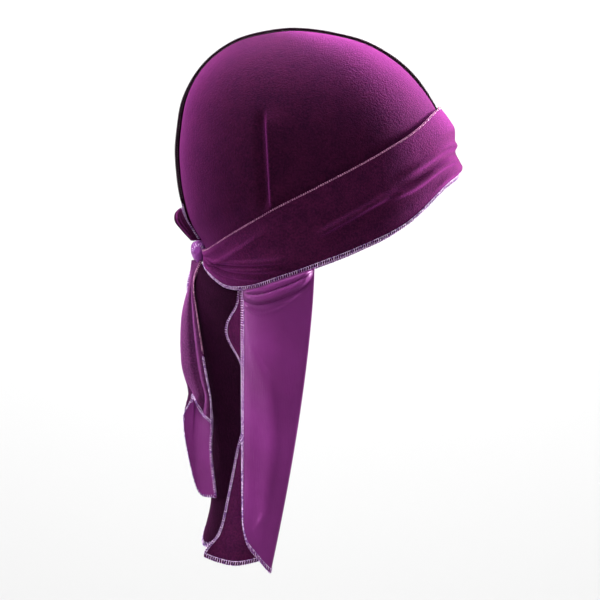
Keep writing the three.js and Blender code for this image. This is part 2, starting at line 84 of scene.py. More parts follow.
bpy.context.collection.objects.link(room)
paper = bpy.data.materials.new("white_paper")
paper.use_nodes = True
paper_shader = paper.node_tree.nodes["Principled BSDF"]
paper_shader.inputs["Base Color"].default_value = (PAPER_GREY, PAPER_GREY, PAPER_GREY, 1)
paper_shader.inputs["Roughness"].default_value = 0.9
paper_shader.inputs["Emission Color"].default_value = (1, 1, 1, 1)
paper_shader.inputs["Emission Strength"].default_value = PAPER_GLOW
room_mesh.materials.append(paper)


def soft_light(name, place, aim, size, power, spread=180):
    """A broad soft lamp aimed at a point, its light spread over an angle in degrees."""
    lamp = bpy.data.lights.new(name, "AREA")
    lamp.shape = "RECTANGLE"
    lamp.size, lamp.size_y = size
    lamp.energy = power
    lamp.spread = math.radians(spread)
    light = bpy.data.objects.new(name, lamp)
    light.location = place
    towards = Vector(aim) - Vector(place)
    light.rotation_euler = towards.to_track_quat("-Z", "Y").to_euler()
    bpy.context.collection.objects.link(light)


soft_light("overhead_light", (-0.2, 0.22, 1.2), (0, 0, -0.1), (1.8, 0.9), power=110)
soft_light("front_light", (-0.65, -1.6, 0.85), (0, 0, -0.25), (0.3, 0.6), power=8)
soft_light(
    "cape_light", (-0.7, -1.7, 0.5), (-0.01, -0.05, -0.34), (0.3, 0.3), power=0.12, spread=16
)
soft_light("brow_light", (1.5, 0.6, 0.45), (0.09, 0, 0.13), (0.6, 0.6), power=9.5, spread=22)
soft_light("tail_light", (-1.5, 0.2, -0.1), (-0.08, 0, -0.35), (0.4, 0.4), power=0.35, spread=13)
soft_light("paper_light", (0, 1.9, 1.6), (0, 3.4, -0.55), (1.8, 0.8), power=88, spread=140)

world = bpy.data.worlds.new("dim_air")
world.use_nodes = True
world.node_tree.nodes["Background"].inputs["Color"].default_value = (1, 1, 1, 1)
world.node_tree.nodes["Background"].inputs["Strength"].default_value = AIR_GLOW
bpy.context.scene.world = world
bpy.context.scene.view_settings.view_transform = "Standard"

# The crown: two panels of stretch velvet cut from one pattern, the pile outside and the smooth
# knitted back inside. They are sewn together along the top of the head, and one soft pleat at
# each side takes in the spare width above the ties.
HEAD_LENGTH = 198
HEAD_WIDTH = 150
CROWN_HEIGHT = 91
NECK_DEPTH = 150
FRONT_SHARE = 0.556
SQUARENESS = 2.3
CLOTH = 1.2
SEAT = 0.5
BROW_DROP = 78.5
KNOT_DROP = 157.5
BAND_WIDTH = 56
HEM_SHARE = 0.3
PLEAT_HEIGHT = 2.6
PLEAT_PLACE = -23
PLEAT_TOP = 58
PLEAT_GROWTH = 14
PLEAT_LEAN = 0.055
PLEAT_SHARP = 0.5
PLEAT_SHARP_WIDTH = 1.2
PLEAT_BACK = 1.8
PLEAT_FRONT = 20
PLEAT_VALLEY = 4.5
PLEAT_VALLEY_DEPTH = 0.9
PLEAT_VALLEY_WIDTH = 3.6
PLEAT_END = 9
CROWN_COLUMNS = 420
CROWN_ROWS = 96
GRAIN_SHARE = 0.72
PROBE = 0.05
HALVINGS = 36
WELD = 0.01
MM = 0.001

# How far the head's profile stands out from four quarter ellipses, from under the nape round
PROFILE = {
    "turn": [-180, -165, -150, -137, -120, -90, -45, -15, 0, 15, 30, 45, 60, 75, 90,
             105, 120, 135, 150, 165, 180],
    "reach": [0.97, 0.955, 0.925, 0.87, 0.875, 1, 1, 0.985, 0.97, 0.96, 0.96, 0.978, 0.992, 0.99, 1,
              1.015, 1.05, 1.06, 1.035, 0.988, 0.97],
}

# The ties' band by the angle from the brow: how far it has fallen to the knot, and its spread
BAND = {
    "round": [0, 20, 40, 60, 80, 100, 120, 140, 156, 171],
    "fall": [0, 0.103, 0.4, 0.614, 0.775, 0.912, 1.038, 1.1, 1.08, 1.01],
    "spread": [0.84, 0.91, 1.085, 1.045, 0.965, 0.88, 0.755, 0.56, 0.34, 0.17],
}


def along(table, key, column, place):
    """A column of a table at any place between its rows, on one smooth curve."""
    keys = np.array(table[key], float)
    values = np.array(table[column], float)
    last = len(keys) - 1
    at = np.clip(place, keys[0], keys[-1])
    i = np.clip(np.searchsorted(keys, at) - 1, 0, last - 1)
    before = np.maximum(np.arange(last + 1) - 1, 0)
    after = np.minimum(np.arange(last + 1) + 1, last)
    slope = (values[after] - values[before]) / (keys[after] - keys[before])
    span = keys[i + 1] - keys[i]
    t = (at - keys[i]) / span
    rise = t * t * (3 - 2 * t)
    blend = values[i] + (values[i + 1] - values[i]) * rise
    return blend + span * t * (1 - t) * (slope[i] * (1 - t) - slope[i + 1] * t)


def mix(a, b, t):
    return a + (b - a) * t


def smooth(a, b, x):
    t = np.clip((x - a) / (b - a), 0, 1)
    return t * t * (3 - 2 * t)


def bump_at(x, middle, width):
    return np.exp(-(((x - middle) / width) ** 2))


def profile_reach(turn):
    """From the head's middle to its profile, by the angle up from straight ahead."""
    forward, up = np.cos(turn), np.sin(turn)
    length = HEAD_LENGTH * np.where(forward > 0, FRONT_SHARE, 1 - FRONT_SHARE)
    height = np.where(up > 0, CROWN_HEIGHT, NECK_DEPTH)
    reach = along(PROFILE, "turn", "reach", np.degrees(turn))
    return reach / np.hypot(forward / length, up / height)


def fullness(point):
    """Below 1 inside the head form, 1 on its skin and above 1 outside it."""
    forward, side, up = point[..., 0], point[..., 1], point[..., 2] + CROWN_HEIGHT
    reach = np.hypot(forward, up) / profile_reach(np.arctan2(up, forward))
    return reach**SQUARENESS + (np.abs(side) / (HEAD_WIDTH / 2)) ** SQUARENESS


def lifted(point, lift):
    """Points of the head form moved out along its own normal."""
    steps = PROBE * np.eye(3)
    normal = np.stack([fullness(point + step) - fullness(point - step) for step in steps], -1)
    normal /= np.linalg.norm(normal, axis=-1, keepdims=True)
    return point + normal * np.asarray(lift)[..., None]


def under_ray(round, tilt, lift):
    """Where a ray from the head's middle leaves the form, by its angle from straight up."""
    round, tilt = np.broadcast_arrays(np.asarray(round, float), np.asarray(tilt, float))
    forward = np.sin(tilt) * np.cos(np.radians(round))
    left = np.sin(tilt) * np.sin(np.radians(round))
    up = np.cos(tilt)
    flat = np.hypot(forward, up) / profile_reach(np.arctan2(up, forward))
    side = np.abs(left) / (HEAD_WIDTH / 2)
    reach = (flat**SQUARENESS + side**SQUARENESS) ** (-1 / SQUARENESS)
    point = np.stack([reach * forward, reach * left, reach * up - CROWN_HEIGHT], -1)
    return lifted(point, lift)


def tilt_at(round, depth):
    """The angle from straight up at which the form has fallen to a depth below its top."""
    high, low = np.zeros(np.shape(round)), np.full(np.shape(round), math.pi)
    for _ in range(HALVINGS):
        middle = (high + low) / 2
        above = -under_ray(round, middle, 0)[..., 2] < depth
        high = np.where(above, middle, high)
        low = np.where(above, low, middle)
    return high


def band_middle(round):
    return mix(BROW_DROP, KNOT_DROP, along(BAND, "round", "fall", np.abs(round)))


def band_spread(round):
    return along(BAND, "round", "spread", np.abs(round))


def band_bottom(round):
    return band_middle(round) + BAND_WIDTH * band_spread(round) / 2


def band_top(round):
    return band_middle(round) - BAND_WIDTH * band_spread(round) / 2


def crown_hem(round):
    return band_bottom(round) - HEM_SHARE * BAND_WIDTH * band_spread(round)


def cloth_normals(grid):
    normal = np.cross(np.gradient(grid, axis=1), np.gradient(grid, axis=0))
    length = np.linalg.norm(normal, axis=-1, keepdims=True)
    normal = normal / np.maximum(length, 1e-12)
    for pole, ring in ((0, 1), (-1, -2)):
        if length[pole].max() < 1e-9:
            normal[pole] = normal[ring].mean(axis=0)
    return normal


def cloth(name, grid, thick, outside, inside, rim):
    """A closed sheet of cloth round a grid of points on its middle surface."""
    rows, columns = grid.shape[:2]
    half = cloth_normals(grid) * thick / 2
    points = np.concatenate([(grid + half).reshape(-1, 3), (grid - half).reshape(-1, 3)]) * MM
    at = np.arange(rows * columns).reshape(rows, columns)
    under = at + rows * columns
    front = np.stack([at[:-1, :-1], at[:-1, 1:], at[1:, 1:], at[1:, :-1]], -1).reshape(-1, 4)
    back = np.stack([under[:-1, :-1], under[1:, :-1], under[1:, 1:], under[:-1, 1:]], -1)
    back = back.reshape(-1, 4)
    edges = [
        np.stack([at[:-1, 0], at[1:, 0], under[1:, 0], under[:-1, 0]], -1),
        np.stack([at[1:, -1], at[:-1, -1], under[:-1, -1], under[1:, -1]], -1),
        np.stack([at[0, 1:], at[0, :-1], under[0, :-1], under[0, 1:]], -1),
        np.stack([at[-1, :-1], at[-1, 1:], under[-1, 1:], under[-1, :-1]], -1),
    ]
    faces = np.concatenate([front, back, *edges])
    mesh = bpy.data.meshes.new(name)
    mesh.from_pydata(points.tolist(), [], faces.tolist())
    for material in (outside, inside, rim):
        mesh.materials.append(material)
    which = np.full(len(faces), 2)
    which[: len(front)] = 0
    which[len(front) : len(front) + len(back)] = 1
    mesh.polygons.foreach_set("material_index", which.astype(np.int32))
    mesh.shade_smooth()
    made = bmesh.new()
    made.from_mesh(mesh)
    bmesh.ops.remove_doubles(made, verts=made.verts, dist=WELD * MM)
    bmesh.ops.recalc_face_normals(made, faces=made.faces)
    made.to_mesh(mesh)
    made.free()
    piece = bpy.data.objects.new(name, mesh)
    bpy.context.collection.objects.link(piece)
    return piece


def new_finish(name, roughness, sheen, sheen_roughness, sheen_tint, specular):
    material = bpy.data.materials.new(name)
    material.use_nodes = True
    shader = material.node_tree.nodes["Principled BSDF"]
    shader.inputs["Roughness"].default_value = roughness
    shader.inputs["Sheen Weight"].default_value = sheen
    shader.inputs["Sheen Roughness"].default_value = sheen_roughness
    shader.inputs["Sheen Tint"].default_value = (*sheen_tint, 1)
    shader.inputs["Specular IOR Level"].default_value = specular
    return material, material.node_tree, shader


def noise(tree, scale, detail, stretch=(1, 1, 1)):
    place = tree.nodes.new("ShaderNodeTexCoord")
    sized = tree.nodes.new("ShaderNodeMapping")
    sized.inputs["Scale"].default_value = stretch
    texture = tree.nodes.new("ShaderNodeTexNoise")
    texture.inputs["Scale"].default_value = scale
    texture.inputs["Detail"].default_value = detail
    tree.links.new(place.outputs["Object"], sized.inputs["Vector"])
    tree.links.new(sized.outputs["Vector"], texture.inputs["Vector"])
    return texture.outputs["Fac"]


def ramp(tree, value, stops):
    colours = tree.nodes.new("ShaderNodeValToRGB")
    while len(colours.color_ramp.elements) < len(stops):
        colours.color_ramp.elements.new(0.5)
    for element, (place, colour) in zip(colours.color_ramp.elements, stops):
        element.position = place
        element.color = (*colour, 1)
    tree.links.new(value, colours.inputs["Fac"])
    return colours.outputs["Color"]


def raised(tree, shader, layers):
    """Stacks relief of a depth in metres onto a shader's normal."""
    previous = None
    for value, depth in layers:
        bump = tree.nodes.new("ShaderNodeBump")
        bump.inputs["Distance"].default_value = depth
        tree.links.new(value, bump.inputs["Height"])
        if previous:
            tree.links.new(previous, bump.inputs["Normal"])
        previous = bump.outputs["Normal"]
    tree.links.new(previous, shader.inputs["Normal"])


def velvet(name, deep, pile, sheen_tint):
    """Short dense pile: nearly black where it is looked into, and bright along its slopes."""
    material, tree, shader = new_finish(
        name, roughness=0.8, sheen=1.0, sheen_roughness=0.62, sheen_tint=sheen_tint, specular=0.015
    )
    swells = noise(tree, scale=24, detail=3)
    crushed = noise(tree, scale=85, detail=4)
    grain = noise(tree, scale=760, detail=3)
    fine = noise(tree, scale=1500, detail=2)
    both = tree.nodes.new("ShaderNodeMix")
    both.inputs["Factor"].default_value = GRAIN_SHARE
    tree.links.new(crushed, both.inputs["A"])
    tree.links.new(grain, both.inputs["B"])
    colour = ramp(tree, both.outputs["Result"], [(0.38, deep), (0.64, pile)])
    tree.links.new(colour, shader.inputs["Base Color"])
    layers = [(swells, 0.001), (crushed, 0.00025), (grain, 0.0004), (fine, 0.0004)]
    raised(tree, shader, layers)
    return material


def tricot(name, shade, light, sheen_tint):
    """The knitted back of the velvet: smooth, fine ribs, a soft satin shine of its own colour."""
    material, tree, shader = new_finish(
        name, roughness=0.34, sheen=0.02, sheen_roughness=0.3, sheen_tint=sheen_tint, specular=0.5
    )
    shader.inputs["Specular Tint"].default_value = (*sheen_tint, 1)
    cloudy = noise(tree, scale=30, detail=3)
    ribs = noise(tree, scale=1500, detail=1, stretch=(1, 1, 0.06))
    fuzz = noise(tree, scale=900, detail=2)
    colour = ramp(tree, cloudy, [(0.3, shade), (0.7, light)])
    tree.links.new(colour, shader.inputs["Base Color"])
    raised(tree, shader, [(ribs, 0.00018), (fuzz, 0.0001)])
    return material


plum_velvet = velvet(
    "plum_velvet", deep=(0.002, 0.0005, 0.0008), pile=(0.024, 0.0025, 0.0092),
    sheen_tint=(0.212, 0.026, 0.182),
)
plum_tricot = tricot(
    "plum_tricot", shade=(0.115, 0.015, 0.1), light=(0.165, 0.023, 0.15),
    sheen_tint=(0.6, 0.16, 0.6),
)


def pleat_lift(point):
    """A fold with a sharp crest, steep behind into a shallow valley and gentle in front."""
    depth = -point[..., 2]
    off = point[..., 0] - PLEAT_PLACE - PLEAT_LEAN * (depth - PLEAT_TOP)
    sharp = PLEAT_SHARP * np.exp(-np.abs(off) / PLEAT_SHARP_WIDTH)
    gentle = (1 - PLEAT_SHARP) * (1 - smooth(0, PLEAT_FRONT, off))
    crest = np.where(off < 0, smooth(-PLEAT_BACK, 0, off), sharp + gentle)
    valley = PLEAT_VALLEY_DEPTH * bump_at(off, -PLEAT_VALLEY, PLEAT_VALLEY_WIDTH)
    grown = PLEAT_HEIGHT * smooth(PLEAT_TOP, PLEAT_TOP + PLEAT_GROWTH, depth)
    edge = band_top(np.degrees(np.arctan2(point[..., 1], point[..., 0])))
    return grown * (crest - valley) * (1 - smooth(edge - PLEAT_END, edge, depth))


def crown_grid(side):
    round = np.linspace(0, 180, CROWN_COLUMNS + 1)
    reach = tilt_at(round, crown_hem(round))
    tilt = np.linspace(0, 1, CROWN_ROWS + 1)[:, None] * reach
    skin = under_ray(round, tilt, 0)
    point = under_ray(round, tilt, CLOTH / 2 + pleat_lift(skin))
    point[..., 1] = side * (point[..., 1] + SEAT / 2)
    return point if side < 0 else point[:, ::-1]


for name, side in (("crown_right", -1), ("crown_left", 1)):
    panel = cloth("velvet_" + name, crown_grid(side), CLOTH, plum_velvet, plum_tricot, plum_tricot)
    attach(panel, "root")
    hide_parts(name)

# The centre seam: both panels' edges folded up together and overlocked on the outside, so they
# stand as a thin ridge from the band at the brow, over the top and down to the knot.
SEAM_HEIGHT = 2.4
SEAM_THICKNESS = 1.8
SEAM_SUNK = 0.2
SEAM_SPARE = 0.95
SEAM_TUCK = 6
SEAM_COLUMNS = 260
SEAM_ROWS = 6
LILAC_FROM = 0.9
KNOT_HEIGHT = 14
STITCH_REACH = 3.0
STITCH_STEP = 1.7
THREAD_RADIUS = 0.22
THREAD_SLACK = 0.15
NEEDLE_RISE = 0.35

# How tall the ridge stands, by the angle up from the brow, over the top and down to the nape
SEAM_RISE = {
    "turn": [0, 22, 35, 60, 105, 135, 160, 205],
    "tall": [0.3, 0.3, 0.8, 0.8, 0.85, 0.7, 1.1, 0.9],
}


def seam_grid():
    start = float(tilt_at(0.0, band_top(0) + SEAM_TUCK))
    finish = -float(tilt_at(180.0, KNOT_DROP - KNOT_HEIGHT / 2))
    tilt = np.linspace(start, finish, SEAM_COLUMNS + 1)
    tall = SEAM_SPARE + SEAM_HEIGHT * along(SEAM_RISE, "turn", "tall", 90 - np.degrees(tilt))
    lift = CLOTH - SEAM_SUNK + np.linspace(0, 1, SEAM_ROWS + 1) * tall[:, None]
    round = np.where(tilt < 0, 180.0, 0.0)
    point = under_ray(round[:, None], np.abs(tilt)[:, None], lift)
    point[..., 1] = 0
    return point


# A darker, duller copy of the crown's velvet for the ridge: painted shade in the seam's fold.
shaded_seam_velvet = velvet(
    "shaded_seam_velvet", deep=(0.002, 0.0005, 0.001), pile=(0.014, 0.002, 0.007),
    sheen_tint=(0.08, 0.014, 0.07),
)
ridge_grid = seam_grid()
seam_ridge = cloth("seam_ridge", ridge_grid, SEAM_THICKNESS, shaded_seam_velvet, shaded_seam_velvet, shaded_seam_velvet)
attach(seam_ridge, "root")
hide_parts("centre_seam")


def thread_finish(name, dark, light):
    """Twisted polyester sewing thread, its colour speckled from dark to near white: painted
    highlights of its sheen and painted shade in its gaps.
    """
    material, tree, shader = new_finish(
        name, roughness=0.45, sheen=0.3, sheen_roughness=0.4, sheen_tint=light, specular=0.4
    )
    glints_and_gaps = noise(tree, scale=700, detail=2)
    twist = noise(tree, scale=3000, detail=1)
    colour = ramp(tree, glints_and_gaps, [(0.4, dark), (0.58, light)])
    tree.links.new(colour, shader.inputs["Base Color"])
    raised(tree, shader, [(twist, 0.0001)])
    return material


def thread(name, lines, radius, finish):
    """Lengths of thread laid along lines of points, as one piece."""
    curve = bpy.data.curves.new(name, "CURVE")
    curve.dimensions = "3D"
    curve.bevel_depth = radius * MM
    curve.bevel_resolution = 0
    for line in lines:
        spline = curve.splines.new("POLY")
        spline.points.add(len(line) - 1)
        spline.points.foreach_set("co", np.c_[line * MM, np.ones(len(line))].ravel())
    curve.materials.append(finish)
    piece = bpy.data.objects.new(name, curve)
    bpy.context.collection.objects.link(piece)
    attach(piece, "root")
    return piece


def stitch_line(grid, side, reach):
    """The edge of a sheet, the way from it to where a stitch ends, and the cloth's normal."""
    normal = cloth_normals(grid)
    if side in ("first", "last"):
        grid, normal = grid.swapaxes(0, 1), normal.swapaxes(0, 1)
    if side in ("last", "bottom"):
        grid, normal = grid[::-1], normal[::-1]
    far = np.linalg.norm(grid[1:] - grid[0], axis=-1) >= reach
    into = grid[1 + np.argmax(far, axis=0), np.arange(grid.shape[1])] - grid[0]
    length = np.linalg.norm(into, axis=-1, keepdims=True)
    return grid[0], into / np.maximum(length, 1e-9), normal[0]


def overlock(
    name, grid, side, finish, reach=STITCH_REACH, step=STITCH_STEP, radius=THREAD_RADIUS,
    start=0.0, end=1.0, thick=CLOTH, face=1,
):
    """Thread whipped over a cloth edge: upright legs on its face, slanted ones behind, and a
    straight needle line where the legs begin."""
    edge, into, out = stitch_line(grid, side, reach)
    run = np.concatenate([[0], np.cumsum(np.linalg.norm(np.diff(edge, axis=0), axis=1))])
    total = run[-1]

    def at(place, depth, height):
        place = np.clip(place, 0, total)
        spot, inward, upward = (
            np.array([np.interp(place, run, way[:, axis]) for axis in range(3)])
            for way in (edge, into, face * out)
        )
        return (spot + inward * depth + upward * height * (thick / 2 + radius)).T

    # One stitch, turn by turn: share of the step, depth in from the edge, height off the cloth
    past = -radius - THREAD_SLACK
    turns = [
        (0, reach, 1), (0, 0.5 * reach, 1.15), (0, 0, 1), (0.15, past, 0), (0.3, 0, -1),
        (0.5, reach, -1), (0.7, 0, -1), (0.85, past, 0), (1, 0, 1),
    ]
    places = np.arange(start * total + step, end * total - step, step)
    legs = [at(places + share * step, depth, height) for share, depth, height in turns]
    whipped = np.stack(legs, 1).reshape(-1, 3)
    fine = np.arange(start * total + step, end * total - step, step / 2)
    needle = at(fine, reach, 1 + NEEDLE_RISE * np.cos(2 * math.pi * fine / step))
    return thread(name, [whipped, needle], radius, finish)


dark_thread = thread_finish("dark_thread", (0.008, 0.003, 0.007), (0.06, 0.02, 0.045))
lilac_thread = thread_finish("lilac_thread", (0.2, 0.06, 0.34), (0.93, 0.68, 1.0))
overlock(
    "seam_stitches", ridge_grid, "last", dark_thread, reach=1.8, end=LILAC_FROM,
    thick=SEAM_THICKNESS,
)
overlock(
    "seam_end_stitches", ridge_grid, "last", lilac_thread, reach=0.9, radius=0.15,
    start=LILAC_FROM, thick=SEAM_THICKNESS,
)

# The inner tie: one long strap of the same velvet that goes round the head first and lies under
# the other. It is seen only from inside and below.
LAYER = CLOTH + SEAT
UNDER_WIDTH = 28
UNDER_SET_BACK = 14
INNER_LAST = 162
INNER_COLUMNS = 270
INNER_ROWS = 16


def on_head(round, depth, lift):
    """The point of the form at an angle round the head and a depth below its top."""
    round, depth = np.broadcast_arrays(np.asarray(round, float), np.asarray(depth, float))
    nothing = np.zeros(round.shape)
    way = np.stack([np.cos(np.radians(round)), np.sin(np.radians(round)), nothing], -1)
    level = np.stack([nothing, nothing, -depth], -1)
    near, far = nothing, np.full(round.shape, float(HEAD_LENGTH))
    for _ in range(HALVINGS):
        middle = (near + far) / 2
        inside = fullness(middle[..., None] * way + level) < 1
        near = np.where(inside, middle, near)
        far = np.where(inside, far, middle)
    return lifted(near[..., None] * way + level, lift)


inner_round = np.linspace(INNER_LAST, -INNER_LAST, INNER_COLUMNS + 1)
inner_across = np.linspace(0, 1, INNER_ROWS + 1)[:, None]
below_top = UNDER_SET_BACK + UNDER_WIDTH * inner_across
inner_depth = band_top(inner_round) + below_top * band_spread(inner_round)
inner_grid = on_head(inner_round, inner_depth, np.full(inner_depth.shape, LAYER + CLOTH / 2))
inner_tie = cloth("inner_tie", inner_grid, CLOTH, plum_velvet, plum_tricot, plum_tricot)
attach(inner_tie, "root")
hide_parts("tie_inner_wrap")

# The outer tie: the second strap, spread broad over the brow and the sides and gathered small
# where it runs into the knot. Its edges are overlocked, and it keeps long soft folds.
BAND_FLARE = 1.9
FLARE_FROM = 0.5
FLARE_TO = 0.85
BROW_PUFF = 2.8
BROW_FULL = 6
BROW_END = 34
PUFF_SHARE = 0.6
CORNER_PUFF = 4.2
CORNER_ACROSS = 0.84
CORNER_HEIGHT = 0.1
CORNER_ROUND = 7
CORNER_WIDTH = 9
GATHER_PUFF = 0.9
GATHER_FROM = 132
GATHER_WAVES = 3
CRIMP_HEIGHT = 0.4
CRIMP_FROM = 118
CRIMP_FULL = 160
CRIMP_WAVES = 7
CRIMP_TURN = 0.05
OUTER_LAST = 171
OUTER_COLUMNS = 380
OUTER_ROWS = 56
FOLD_FADE = 0.25
KNOT_DEPTH = 11
KNOT_WIDTH = 22
KNOT_SQUEEZE = 0.8
SQUEEZE_FROM = 150

# Each fold runs from one angle round the head to another, between two shares of the band's height
FOLDS = [
    {"from": -84, "to": -42, "above": 0.62, "below": 0.5, "height": 3.0, "width": 0.04},
    {"from": -54, "to": -2, "above": 0.52, "below": 0.76, "height": 3.0, "width": 0.045},
    {"from": -46, "to": 6, "above": 0.36, "below": 0.6, "height": 2.2, "width": 0.05},
    {"from": -30, "to": 8, "above": 0.86, "below": 0.9, "height": 1.9, "width": 0.045},
    {"from": -166, "to": -104, "above": 0.5, "below": 0.26, "height": 1.3, "width": 0.05},
    {"from": -169, "to": -90, "above": 0.21, "below": 0.84, "height": 2.2, "width": 0.034},
    {"from": -169, "to": -94, "above": 0.34, "below": 0.92, "height": 2.2, "width": 0.03},
    {"from": -169, "to": -104, "above": 0.5, "below": 0.95, "height": 1.8, "width": 0.028},
    {"from": -36, "to": 34, "above": 0.3, "below": 0.34, "height": 1.0, "width": 0.09},
    {"from": 40, "to": 84, "above": 0.5, "below": 0.64, "height": 1.8, "width": 0.05},
    {"from": 4, "to": 50, "above": 0.7, "below": 0.54, "height": 1.5, "width": 0.05},
    {"from": 96, "to": 167, "above": 0.86, "below": 0.66, "height": 1.7, "width": 0.045},
    {"from": 86, "to": 164, "above": 0.42, "below": 0.5, "height": 1.2, "width": 0.05},
]

nape = on_head(180, KNOT_DROP, 0)
knot_centre = np.array([nape[0] - 2 * LAYER - KNOT_DEPTH / 2, 0, -KNOT_DROP])


def outer_lift(round, across):
    """How far the band stands off the head: its flare, puff, gathers and long folds."""
    flare = BAND_FLARE * smooth(FLARE_FROM, FLARE_TO, across)
    brow = 1 - smooth(BROW_FULL, BROW_END, np.abs(round))
    puff = BROW_PUFF * brow * np.sin(math.pi * np.minimum(across / PUFF_SHARE, 1))
    corner = bump_at(across, CORNER_ACROSS, CORNER_HEIGHT)
    corner = corner * bump_at(round, CORNER_ROUND, CORNER_WIDTH)
    gather = smooth(GATHER_FROM, OUTER_LAST, np.abs(round))
    pleats = GATHER_PUFF * gather * (1 + np.sin(GATHER_WAVES * math.pi * across))
    crimped = smooth(CRIMP_FROM, CRIMP_FULL, np.abs(round))
    crimp = CRIMP_HEIGHT * crimped * np.sin(CRIMP_WAVES * math.pi * across + CRIMP_TURN * round)
    lift = 2 * LAYER + CLOTH / 2 + flare + puff + CORNER_PUFF * corner + pleats + crimp
    for fold in FOLDS:
        share = (round - fold["from"]) / (fold["to"] - fold["from"])
        line = mix(fold["above"], fold["below"], share)
        shown = smooth(0, FOLD_FADE, share) * (1 - smooth(1 - FOLD_FADE, 1, share))
        lift = lift + fold["height"] * shown * bump_at(across, line, fold["width"])
    return lift


def to_knot(point, round):
    """Cloth of the band drawn in until its end is pressed on the knot."""
    share = smooth(SQUEEZE_FROM, OUTER_LAST, np.abs(round))
    seat = np.stack(
        [
            np.full(round.shape, knot_centre[0] + KNOT_DEPTH / 2),
            np.sign(round) * (KNOT_WIDTH / 2 - LAYER),
            knot_centre[2] + KNOT_SQUEEZE * (point[..., 2] - knot_centre[2]),
        ],
        -1,
    )
    return mix(point, seat, (share * share)[..., None])


outer_round, outer_across = np.meshgrid(
    np.linspace(OUTER_LAST, -OUTER_LAST, OUTER_COLUMNS + 1), np.linspace(0, 1, OUTER_ROWS + 1)
)
outer_depth = mix(band_top(outer_round), band_bottom(outer_round), outer_across)
outer_lie = on_head(outer_round, outer_depth, outer_lift(outer_round, outer_across))
outer_grid = to_knot(outer_lie, outer_round)
# A brighter copy of the crown's velvet for the outer tie, its bow loop and the front tie end:
# painted light.
lit_tie_velvet = velvet(
    "lit_tie_velvet", deep=(0.003, 0.0008, 0.0012), pile=(0.038, 0.0042, 0.016),
    sheen_tint=(0.31, 0.038, 0.268),
)
plum_thread = thread_finish("plum_thread", (0.22, 0.07, 0.16), (0.75, 0.34, 0.55))
outer_tie = cloth("outer_tie", outer_grid, CLOTH, lit_tie_velvet, plum_tricot, lit_tie_velvet)
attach(outer_tie, "root")
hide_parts("tie_outer_wrap")
outer_stitches = [
    overlock("outer_tie_top_stitches", outer_grid, "top", plum_thread, reach=0.7, radius=0.11),
    overlock("outer_tie_bottom_stitches", outer_grid, "bottom", lilac_thread, reach=2.3),
]

# The knot: the two ties crossed at the nape and drawn tight. Their knitted back is turned out on
# the small hard lump they make, broad above and narrow below, with overlocking over both its ends.
KNOT_COLUMNS = 96
KNOT_ROWS = 48
KNOT_FORWARD = 1.4
KNOT_ROUNDNESS = 2.6
KNOT_EGG = 0.38
CREASE_DEPTH = 0.3
CREASE_COUNT = 3.5
CREASE_TWIST = 0.8
CREASE_EDGE = 3
KNOT_STITCHED_ROW = 11
KNOT_STITCHED_FROM = 4
KNOT_STITCHED_TO = 50


def knot_grid():
    share = np.sin(np.linspace(-1, 1, KNOT_ROWS + 1) * math.pi / 2)[:, None]
    angle = np.linspace(0, 2 * math.pi, KNOT_COLUMNS + 1)[None, :]
    swell = np.maximum(1 - np.abs(share) ** KNOT_ROUNDNESS, 0) ** (1 / KNOT_ROUNDNESS)
    pinch = 1 - np.abs(np.sin(CREASE_COUNT * (angle + CREASE_TWIST * share)))
    girth = swell * (1 - CREASE_DEPTH * pinch**CREASE_EDGE)
    egg = 1 + KNOT_EGG * np.sin(angle)
    return np.stack(
        [
            knot_centre[0] + KNOT_FORWARD + (KNOT_DEPTH - CLOTH) / 2 * girth * egg * np.cos(angle),
            share * (KNOT_WIDTH - CLOTH) / 2 + 0 * angle,
            knot_centre[2] + (KNOT_HEIGHT + 2 * CLOTH) / 2 * girth * np.sin(angle),
        ],
        -1,
    )


drawn_tricot = tricot(
    "drawn_tricot", shade=(0.24, 0.045, 0.27), light=(0.42, 0.1, 0.47), sheen_tint=(0.7, 0.3, 0.7)
)
knot = cloth("knot_lump", knot_grid(), CLOTH, drawn_tricot, drawn_tricot, drawn_tricot)
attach(knot, "root")
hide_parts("knot")
for name, turned in (("knot_right_stitches", 1), ("knot_left_stitches", -1)):
    end_of_lump = knot_grid()[::turned][:KNOT_STITCHED_ROW, KNOT_STITCHED_FROM:KNOT_STITCHED_TO]
    overlock(name, end_of_lump, "bottom", lilac_thread, reach=2.4, step=1.3, face=-turned)

# The bow loop: a bight of the tie left standing above the knot, close along the crown, its velvet
# outside and its front edge overlocked.
LOOP_LENGTH = 23
LOOP_WIDTH = 13
LOOP_SPREAD = 8
LOOP_BELLY = 0.3
LOOP_FOLD = {"height": 0.55, "across": 0.34, "width": 0.09}
LOOP_ROWS = 96
LOOP_COLUMNS = 24

# The loop's rear and front edges and how far its sides stand apart, by the way up it
LOOP = {
    "up": [0, 0.3, 0.58, 0.8, 0.94, 1],
    "rear": [-0.32, -0.8, -1.18, -1.2, -1.02, -0.86],
    "fore": [0.2, -0.15, -0.46, -0.66, -0.75, -0.78],
    "apart": [0.3, 0.8, 1, 0.85, 0.5, 0],
}


def loop_grid():
    foot = knot_centre[2] + KNOT_HEIGHT / 2 + LAYER
    share = np.linspace(-1, 1, LOOP_ROWS + 1)[:, None]
    across = np.linspace(0, 1, LOOP_COLUMNS + 1)[None, :]
    up = np.sin((1 - np.abs(share)) * math.pi / 2)
    rear, fore, apart = (along(LOOP, "up", column, up) for column in ("rear", "fore", "apart"))
    fold = LOOP_FOLD["height"] * bump_at(across, LOOP_FOLD["across"], LOOP_FOLD["width"])
    belly = 1 + LOOP_BELLY * np.sin(math.pi * across) + fold
    return np.stack(
        [
            knot_centre[0] + LOOP_WIDTH * mix(rear, fore, across),
            np.sign(share) * LOOP_SPREAD * apart * belly / 2,
            foot + LOOP_LENGTH * up + 0 * across,
        ],
        -1,
    )


